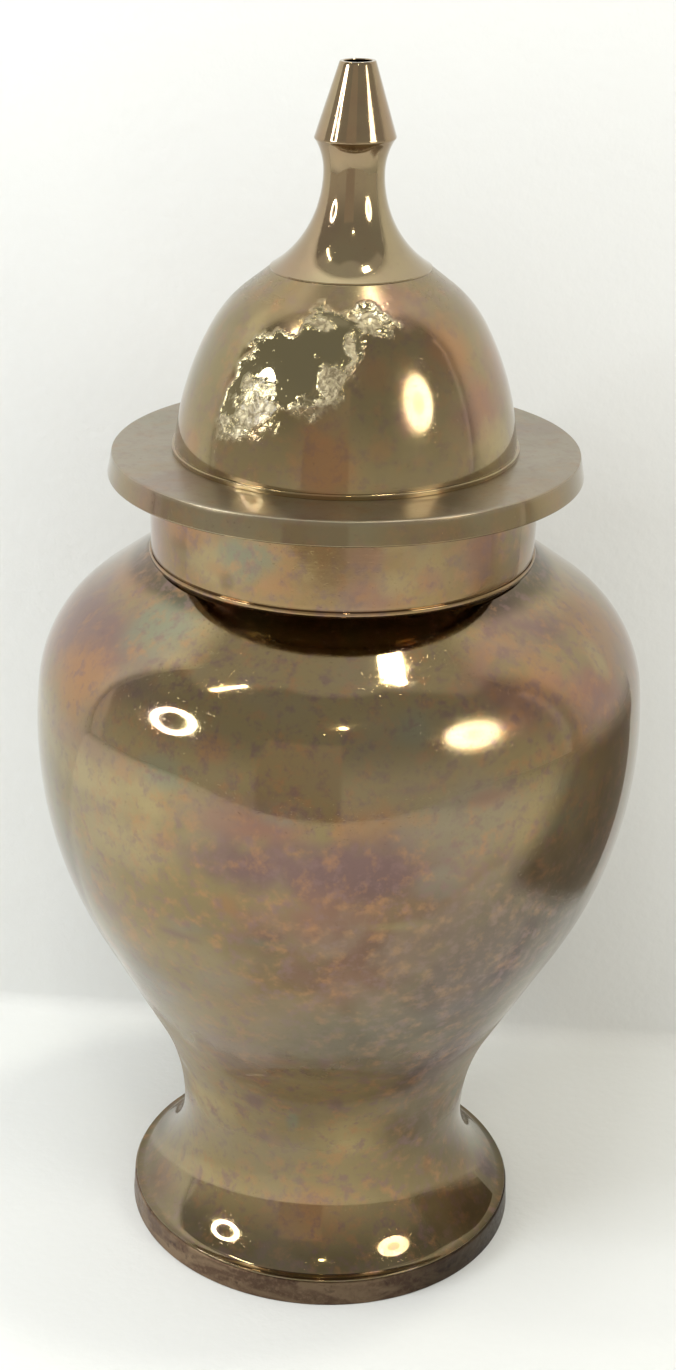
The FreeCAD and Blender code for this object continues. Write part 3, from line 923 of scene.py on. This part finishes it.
def film_cover(points):
    """How much loose film lies at each point, from 0 to 1."""
    ragged = 0.5 * fractal(points, 0.004, 3, 14.0)
    cover = np.zeros(len(points))
    for reach, _ in reaches(points, FILM):
        cover = np.maximum(cover, 1 - smoothstep(0.6, 1.15, reach + ragged))
    return cover


def dome_outline():
    """The dome in section: ledge, outside, stud hole and inside."""
    outer = dome_outer(DOME_STEP)
    bore = DOME_FOOT[0] - WALL
    ledge = rounded((
        (bore, DOME_FOOT[1], 0),
        (LEDGE_RADIUS, DOME_FOOT[1], 0.1 * MM),
        (LEDGE_RADIUS, LEDGE_TOP, 0.4 * MM),
        (bore, LEDGE_TOP, 0),
    ), LIP_STEP)
    rim = ledge[ledge[:, 0] > DOME_FOOT[0] + 0.1 * MM]
    under_crown = CROWN[1] - WALL
    middle = np.array([(STUD_HOLE, CROWN[1]), (STUD_HOLE, under_crown)])
    inside = inner_wall(outer, DOME_INSIDE_EVERY)
    inside[0] = (CROWN[0], under_crown)
    return np.concatenate([rim, outer, middle, inside, [(bore, DOME_FOOT[1])]])


def make_dome():
    """The bell-shaped cover, with its peeled patch and the loose film round it."""
    piece = lathe("dome_spun", dome_outline(), DOME_AROUND)
    points = vertex_array(piece.data, "co")
    facing = points * vertex_array(piece.data, "normal")
    outside = (facing[:, 0] + facing[:, 1] > 0) & (points[:, 2] > LEDGE_TOP + 0.3 * MM)
    depth = np.where(outside, peeled_depth(points), -0.01)
    bare = smoothstep(0.0, 0.35 * MM, depth)
    edge = np.exp(-((depth - 0.15 * MM) / (0.55 * MM)) ** 2)
    crumple = fractal(points, 0.0024, 3, 10.0)
    patchy = smoothstep(-0.25, 0.25, fractal(points, 0.006, 3, 12.0))
    flake = np.clip(0.45 * edge + film_cover(points) * (0.35 + 0.65 * patchy), 0, 1) * outside
    lift = (0.07 * edge - 0.05 * bare + 0.16 * flake * crumple) * MM
    push_out(piece.data, np.where(outside, lift + spun_relief(points) * 0.5, 0))
    paint(piece, "bare", bare * outside)
    paint(piece, "flake", flake)

    bearing = bearing_of(points)
    height = points[:, 2] / MM
    crown = smoothstep(329, 338, height) * (1 - bare)
    side = smoothstep(30, 55, abs(bearing)) * 0.04
    glare = 0.10 * np.exp(-((bearing - 19) / 13) ** 2) * smoothstep(332, 322, height)
    paint(piece, "haze", 0.16 * crown + side + glare)
    back = scattered(9, 16, (ROSE, YELLOW, GREEN, ORANGE, OLIVE), (292, 340), tall=(5, 12))
    colours = (ROSE, YELLOW, TAN, ORANGE, OLIVE)
    small = scattered(8, 60, colours, (292, 340), ALL_ROUND, (3, 8), (2, 5), (0.2, 0.6))
    skin = stained(points, GOLD, DOME_STAINS + back + small)
    # stains with painted shade over them
    paint_colour(piece, "stain_and_shade", painted_shade_over(points, skin, DOME_PAINTED_SHADES))
    dress(piece, dome_brass(), "lid", "polished_brass", "lid_dome")


FINIAL_COLOUR = (0.36, 0.285, 0.16)


def make_finial():
    """The turned knob: a flared foot, a throat and a cone with a recess in its tip."""
    bottom = FINIAL_LOW.z
    top = FINIAL_HIGH.z
    tap_end = bottom + TAP_DEPTH
    recess_floor = top - RECESS_DEPTH
    slope = np.array([TIP_RADIUS - CONE[0], top - CONE[1]])
    slope = slope / np.linalg.norm(slope)
    cone_start = tuple(np.array(CONE) + slope * CONE_EDGE_END)
    outline = np.concatenate([
        line((TAP_RADIUS, tap_end), (TAP_RADIUS, bottom), 2 * MM),
        line((TAP_RADIUS, bottom), (CROWN[0], bottom), 2 * MM),
        line((CROWN[0], bottom), LAND, 0.15 * MM),
        arc(LAND, THROAT, upright_circle(THROAT, LAND), FINIAL_STEP),
        arc(THROAT, CONE, upright_circle(THROAT, CONE), FINIAL_STEP)[:-1],
        [(CONE[0] + across, CONE[1] + up) for across, up in CONE_EDGE],
        line(cone_start, (TIP_RADIUS, top - TIP_ROUND), FINIAL_STEP),
        [(TIP_RADIUS, top - TIP_ROUND), (TIP_RADIUS - TIP_ROUND, top)],
        [(RECESS_RADIUS + TIP_ROUND, top), (RECESS_RADIUS, top - TIP_ROUND)],
        line((RECESS_RADIUS, top - 0.6 * MM), (RECESS_RADIUS, recess_floor), 0.6 * MM),
        [(RECESS_RADIUS, recess_floor), (0, recess_floor), (0, tap_end)],
    ])

    def turned(points):
        outside = beyond(points, 4.6 * MM, 5.2 * MM)
        above = smoothstep(bottom + 1 * MM, bottom + 4 * MM, points[:, 2])
        return outside * above * fractal(points * np.array([0.4, 0.4, 1.0]), 0.004, 2, 13.0) * 0.012 * MM

    piece = lathe("finial_turned", outline, FINIAL_AROUND, turned)
    made = brass("brass_finial", FINIAL_COLOUR, rough=0.07, cloud=0.02, speckle=0.3, turning=0.8, tint=0.15)
    dress(piece, made, "lid", "polished_brass", "finial")


# ---------------------------------------------------------------- hidden pieces

def dress_hidden_pieces():
    """The pieces inside keep their CAD shapes and get materials of their own."""
    inside = dull_brass("brass_inside", (0.33, 0.24, 0.13), 0.32)
    fastener = dull_brass("brass_fastener", (0.5, 0.39, 0.22), 0.25)
    chosen = {"floor_disc": inside, "lid_locating_ring": inside}
    chosen.update({name: fastener for name in ("finial_stud", "finial_washer", "finial_nut")})
    for name, made in chosen.items():
        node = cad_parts[name]
        node.data.materials.clear()
        node.data.materials.append(made.material)


# ---------------------------------------------------------------- stage, lights and camera

JAR_MIDDLE = (0, 0, 0.2)
PAPER = (0.83, 0.842, 0.835)
PAPER_CLOUD = (0.80, 0.812, 0.805)


def backdrop():
    """A pale floor that turns up into a wall close behind the jar, seen only from its front."""
    cove = 0.008
    back = 0.115
    front = -0.78
    high = 1.3
    half_width = 1.5
    profile = np.concatenate([
        [(front, 0.0)],
        arc((back - cove, 0.0), (back, cove), (back - cove, cove), cove / 8),
        [(back, cove), (back, high)],
    ])
    vertices = [(side * half_width, y, z) for y, z in profile for side in (-1, 1)]
    faces = [(2 * i, 2 * i + 1, 2 * i + 3, 2 * i + 2) for i in range(len(profile) - 1)]
    mesh = bpy.data.meshes.new("backdrop")
    mesh.from_pydata(vertices, [], faces)
    mesh.shade_smooth()
    made = Surface("paper")
    clouds = made.spread(made.noise(0.3, 3.0), 0.3, 0.7)
    made.feed(Base_Color=made.mix(clouds, PAPER, PAPER_CLOUD), Roughness=0.9, Specular_IOR_Level=0.1)
    made.feed(Normal=made.bump(made.noise(0.004, 2.0), 0.0002))
    made.fade_out(made.add("ShaderNodeNewGeometry").outputs["Backfacing"])
    mesh.materials.append(made.material)
    sheet = bpy.data.objects.new("backdrop", mesh)
    sheet.rotation_euler.z = math.radians(-2.6)
    bpy.context.scene.collection.objects.link(sheet)


def aim(thing, target):
    """Turn a light so that it shines at target."""
    thing.rotation_euler = (Vector(target) - thing.location).to_track_quat("-Z", "Y").to_euler()


def glow(name, colour, strength):
    """A material that shines."""
    made = Surface(name)
    emission = made.add("ShaderNodeEmission")
    emission.inputs["Color"].default_value = (*colour, 1)
    emission.inputs["Strength"].default_value = strength
    made.show(emission.outputs["Emission"])
    return made.material


def ring_light(name, place, outer, inner, strength, colour, centre=0.0):
    """A round lamp that shines at the jar. Its middle is open, or glows with a share of the strength."""
    mesh_maker = bmesh.new()
    count = 48
    rims = []
    for radius in (outer, inner):
        rims.append([mesh_maker.verts.new((radius * math.cos(a), radius * math.sin(a), 0))
                     for a in 2 * math.pi * np.arange(count) / count])
    for i in range(count):
        j = (i + 1) % count
        mesh_maker.faces.new((rims[0][j], rims[0][i], rims[1][i], rims[1][j]))
    if centre:
        mesh_maker.faces.new(rims[1][::-1]).material_index = 1
    mesh = bpy.data.meshes.new(name)
    mesh_maker.to_mesh(mesh)
    mesh_maker.free()
    mesh.materials.append(glow(name, colour, strength))
    if centre:
        mesh.materials.append(glow(name + "_centre", colour, strength * centre))
    lamp = bpy.data.objects.new(name, mesh)
    lamp.location = place
    aim(lamp, JAR_MIDDLE)
    lamp.visible_camera = False
    bpy.context.scene.collection.objects.link(lamp)


def dark_card():
    """A dark board on the right, out of view, that the jar's lower right side mirrors."""
    high = 0.22
    front_foot = (0.286, -0.178)
    front_top = (0.256, -0.082)
    front_lean = 0.44
    back = (0.20, 0.10)
    mesh = bpy.data.meshes.new("dark_card")
    corners = [(*front_foot, 0.0), (*back, 0.0), (*back, high), (*front_top, high)]
    mesh.from_pydata(corners, [], [(0, 1, 2, 3)])
    made = Surface("card")
    made.feed(Base_Color=made.mix(made.noise(0.02), (0.34, 0.29, 0.24), (0.46, 0.40, 0.33)))
    # it fades out towards its front edge, its top and the floor
    place = made.axes(made.object_point())
    from_front = made.maths("SUBTRACT", place["Y"], made.maths("MULTIPLY", place["Z"], front_lean))
    front = made.spread(from_front, front_foot[1], -0.10)
    ends = made.maths("MULTIPLY", made.spread(place["Z"], high, 0.16), made.spread(place["Z"], 0.0, 0.04))
    made.fade_out(made.maths("SUBTRACT", 1.0, made.maths("MULTIPLY", front, ends)))
    mesh.materials.append(made.material)
    card = bpy.data.objects.new("dark_card", mesh)
    card.visible_camera = False
    card.visible_shadow = False
    card.visible_diffuse = False
    bpy.context.scene.collection.objects.link(card)


def panel_light(name, place, size, power, colour=(1, 1, 1), target=JAR_MIDDLE, mirrored=True):
    """A flat rectangular lamp, size = (width, height)."""
    data = bpy.data.lights.new(name, "AREA")
    data.shape = "RECTANGLE"
    data.size, data.size_y = size
    data.energy = power
    data.color = colour
    lamp = bpy.data.objects.new(name, data)
    lamp.location = place
    lamp.visible_camera = False
    lamp.visible_glossy = mirrored
    bpy.context.scene.collection.objects.link(lamp)
    aim(lamp, target)


def room():
    """What the metal mirrors beyond the stage: a dim room in front, pale paper round the back."""
    world = bpy.data.worlds.new("room")
    bpy.context.scene.world = world
    made = Nodes(world)
    x, y, z = made.axes(made.add("ShaderNodeTexCoord").outputs["Generated"])
    out = made.maths("ABSOLUTE", x)
    front = made.maths("MULTIPLY", y, -1.0)

    # pale paper: at the sides it rises outwards, and behind it rises backwards
    left = made.spread(made.maths("MULTIPLY", x, -1.0), -0.05, 0.05)
    behind = made.maths("SUBTRACT", y, made.maths("MULTIPLY", out, made.maths("MULTIPLY", left, 0.23)))
    below = made.maths("SUBTRACT", made.maths("MULTIPLY", out, 0.85), z)
    sides = made.maths("MULTIPLY", made.spread(behind, -0.01, 0.03), made.spread(below, -0.02, 0.05))
    below = made.maths("SUBTRACT", made.maths("MULTIPLY", y, 2.8), z)
    wall = made.maths("MULTIPLY", made.spread(y, 0.05, 0.09), made.spread(below, -0.03, 0.08))
    paper = made.maths("MAXIMUM", sides, wall)

    # a tall brown shape in front, a little to the left
    bearing = made.maths("ARCTAN2", x, front)
    person = made.maths("MULTIPLY", made.spread(bearing, -0.50, -0.46), made.spread(bearing, 0.07, 0.04))
    person = made.maths("MULTIPLY", person, made.spread(z, 0.60, 0.54))
    person = made.maths("MULTIPLY", person, made.spread(front, 0.0, 0.05))

    overhead = made.maths("MULTIPLY", made.spread(z, 0.78, 0.84), made.spread(y, -0.16, -0.04))
    overhead = made.maths("MAXIMUM", overhead, made.spread(z, 0.965, 0.985))
    walls = made.mix(made.spread(z, -0.1, 0.6), (0.70, 0.68, 0.62), (0.42, 0.415, 0.39))
    ceiling = made.mix(overhead, walls, (0.64, 0.63, 0.61))
    dim = made.mix(person, ceiling, (0.56, 0.51, 0.46))
    seen = made.mix(paper, dim, (0.80, 0.80, 0.79))
    to_camera = made.add("ShaderNodeLightPath").outputs["Is Camera Ray"]
    shown = made.mix(to_camera, seen, (0.80, 0.80, 0.78))
    made.link(shown, made.tree.nodes["Background"].inputs["Color"])


def make_camera():
    """A lens of about 53 mm on 36 mm film, held a little above the lid and looking down."""
    pitch = 0.540935
    yaw = -0.0855685
    roll = -0.0093498
    place = (0, -0.63042, 0.47495)
    ahead = math.cos(pitch)
    forward = Vector((math.sin(yaw) * ahead, math.cos(yaw) * ahead, -math.sin(pitch)))
    level = Vector((math.cos(yaw), -math.sin(yaw), 0))
    upright = level.cross(forward)
    right = math.cos(roll) * level + math.sin(roll) * upright
    up = math.cos(roll) * upright - math.sin(roll) * level
    turn = Matrix((right, up, -forward)).transposed()
    data = bpy.data.cameras.new("camera")
    data.lens = 53.085
    data.shift_x = 0.11687
    data.shift_y = 0.20754
    camera = bpy.data.objects.new("camera", data)
    camera.matrix_world = Matrix.Translation(place) @ turn.to_4x4()
    bpy.context.scene.collection.objects.link(camera)
    bpy.context.scene.camera = camera


make_camera()
room()
backdrop()
dark_card()
panel_light("wall_wash", (-0.16, -0.32, 0.95), (0.35, 0.3), 2.8, (0.96, 0.98, 1.0),
            target=(0.05, 0.115, 0.45), mirrored=False)
ring_light("ring_left", (-1.02, -0.48, 0.76), 0.20, 0.135, 26, (0.93, 0.97, 1.0))
ring_light("ring_right", (0.62, -0.46, 0.62), 0.15, 0.06, 8, (1.0, 0.96, 0.88), centre=0.55)
panel_light("ceiling_lamp", (0.5, 0.0, 2.4), (0.22, 0.22), 9, (1.0, 0.98, 0.85))
panel_light("tube_lamp", (-1.0, -0.28, 2.1), (0.05, 0.45), 3.0, (1.0, 0.98, 0.8))
panel_light("window", (0.09, -1.25, 1.6), (0.07, 0.05), 1.0, (1.0, 0.95, 0.7))

spun = brass("brass_spun")
make_foot_ring()
make_pedestal(spun)
make_bowl(spun)
make_collar()
make_flange()
make_dome()
make_finial()
dress_hidden_pieces()

bpy.context.scene.view_settings.view_transform = "Standard"
